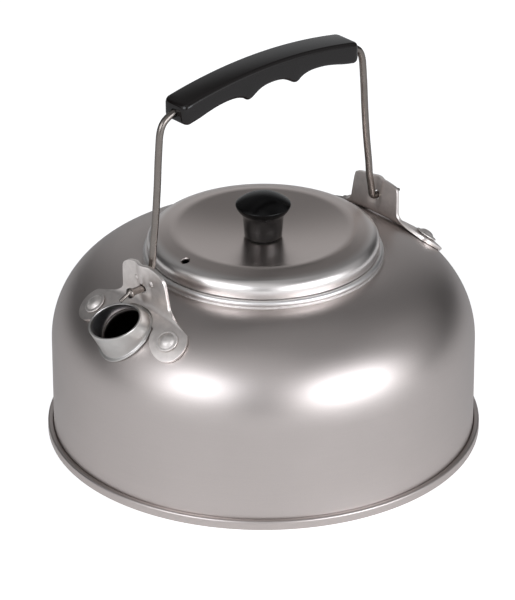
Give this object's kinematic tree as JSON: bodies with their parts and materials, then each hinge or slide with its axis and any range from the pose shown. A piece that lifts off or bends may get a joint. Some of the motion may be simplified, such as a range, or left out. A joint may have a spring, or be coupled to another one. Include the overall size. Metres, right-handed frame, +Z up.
{
  "type": "camping kettle",
  "caption": "Low round metal camping kettle with a short funnel spout, lift-off lid with a knob, and a swinging wire bail with a scalloped grip.",
  "frame": {"origin": "centre of the base on the plane that the kettle stands on", "axes": "+Z up along the kettle's axis, -X towards the spout, the bail hinges about the X direction"},
  "size_m": [0.181, 0.181, 0.1672],
  "materials": {
    "shell": "satin",
    "base": "satin",
    "spout": "satin",
    "bracket": "satin",
    "rivet": "satin",
    "lid": "satin",
    "knob": "gloss",
    "screw": "satin",
    "wire": "satin",
    "grip": "gloss"
  },
  "bodies": {
    "kettle": {"kettle_body": "shell", "base_plate": "base", "spout": "spout", "front_bracket": "bracket", "rear_bracket": "bracket", "front_rivet_left": "rivet", "front_rivet_right": "rivet", "rear_rivet_left": "rivet", "rear_rivet_right": "rivet"},
    "lid": {"lid": "lid", "lid_knob": "knob", "knob_screw": "screw", "knob_washer": "screw"},
    "bail": {"bail_wire": "wire", "grip": "grip"}
  },
  "joints": [
    {"name": "lid_lift", "type": "slide", "parent": "kettle", "child": "lid", "axis": [0, 0, 1], "range_m": [0, 0.04]},
    {"name": "bail_hinge", "type": "hinge", "parent": "kettle", "child": "bail", "pos_m": [0, 0, 0.0855], "axis": [1, 0, 0], "range_deg": [-93, 93]}
  ]
}
